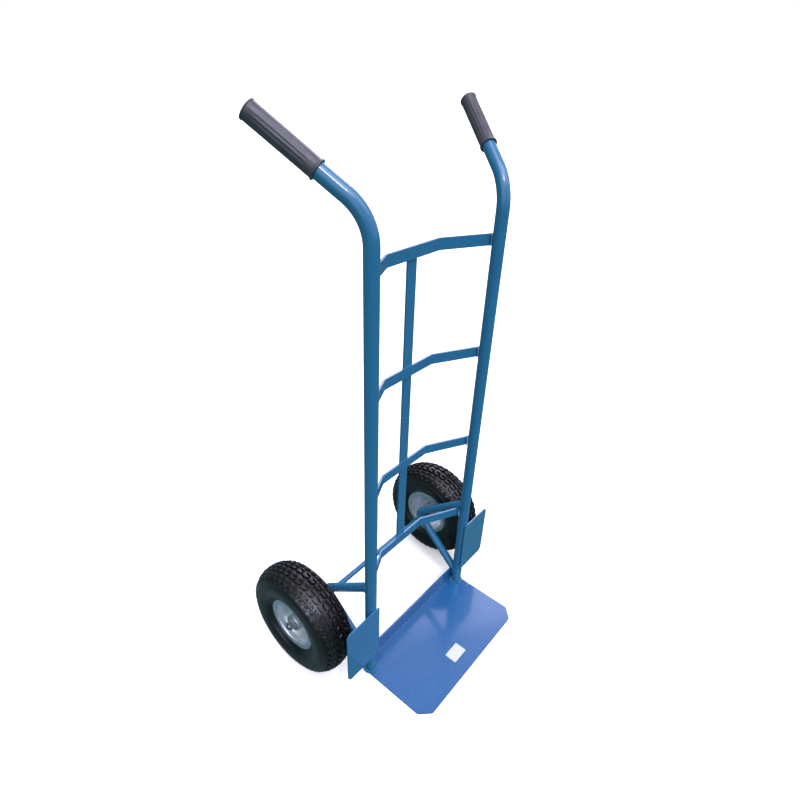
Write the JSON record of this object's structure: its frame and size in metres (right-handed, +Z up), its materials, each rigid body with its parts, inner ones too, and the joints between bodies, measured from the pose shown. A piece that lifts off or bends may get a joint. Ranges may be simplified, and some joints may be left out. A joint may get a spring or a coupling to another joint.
{
  "type": "hand truck",
  "caption": "Upright tubular hand truck with a folded toe plate, splayed handles, bowed crossbars and pneumatic wheels that spin on a fixed axle.",
  "frame": {"origin": "on the floor under the toe plate, midway between the uprights and in the plane of their axes", "axes": "+X across to the left of the person at the handles, -Y to the front over the toe plate, +Z up along the uprights"},
  "size_m": [0.556, 0.438, 1.1118],
  "materials": {
    "blue_paint": "glossy mid-blue enamel",
    "blue_paint_plate": "glossy mid-blue enamel on flat sheet",
    "label_white": "satin white blank label",
    "grip_rubber": "satin dark-grey moulded grip",
    "zinc_hardware": "bright zinc plate",
    "zinc_rim": "zinc-plated pressed steel, satin",
    "bearing_steel": "ground steel",
    "tyre_rubber": "new black tyre rubber with a slight sheen",
    "inner_rubber": "matt black rubber",
    "black_cap": "matt black moulding"
  },
  "bodies": {
    "frame": {"toe_plate": "blue_paint_plate", "toe_label": "label_white", "upright_right": "blue_paint", "upright_left": "blue_paint", "grip_right": "grip_rubber", "grip_left": "grip_rubber", "crossbar_1": "blue_paint", "crossbar_2": "blue_paint", "crossbar_3": "blue_paint", "crossbar_4": "blue_paint", "centre_strut": "blue_paint", "axle_bracket_right": "blue_paint", "axle_bracket_left": "blue_paint", "axle": "blue_paint", "axle_washers": "zinc_hardware", "axle_nuts": "zinc_hardware", "wheel_guard_right": "blue_paint", "wheel_guard_left": "blue_paint"},
    "wheel_right": {"tyre_right": "tyre_rubber", "inner_tube_right": "inner_rubber", "rim_outer_right": "zinc_rim", "rim_inner_right": "zinc_rim", "hub_right": "zinc_rim", "bearings_right": "bearing_steel", "rim_bolts_right": "zinc_hardware", "rim_nuts_right": "zinc_hardware", "valve_stem_right": "inner_rubber", "valve_cap_right": "black_cap"},
    "wheel_left": {"tyre_left": "tyre_rubber", "inner_tube_left": "inner_rubber", "rim_outer_left": "zinc_rim", "rim_inner_left": "zinc_rim", "hub_left": "zinc_rim", "bearings_left": "bearing_steel", "rim_bolts_left": "zinc_hardware", "rim_nuts_left": "zinc_hardware", "valve_stem_left": "inner_rubber", "valve_cap_left": "black_cap"}
  },
  "joints": [
    {"name": "wheel_right_spin", "type": "hinge", "parent": "frame", "child": "wheel_right", "pos_m": [-0.235, 0.139, 0.13], "axis": [1, 0, 0], "continuous": true},
    {"name": "wheel_left_spin", "type": "hinge", "parent": "frame", "child": "wheel_left", "pos_m": [0.235, 0.139, 0.13], "axis": [1, 0, 0], "continuous": true}
  ]
}
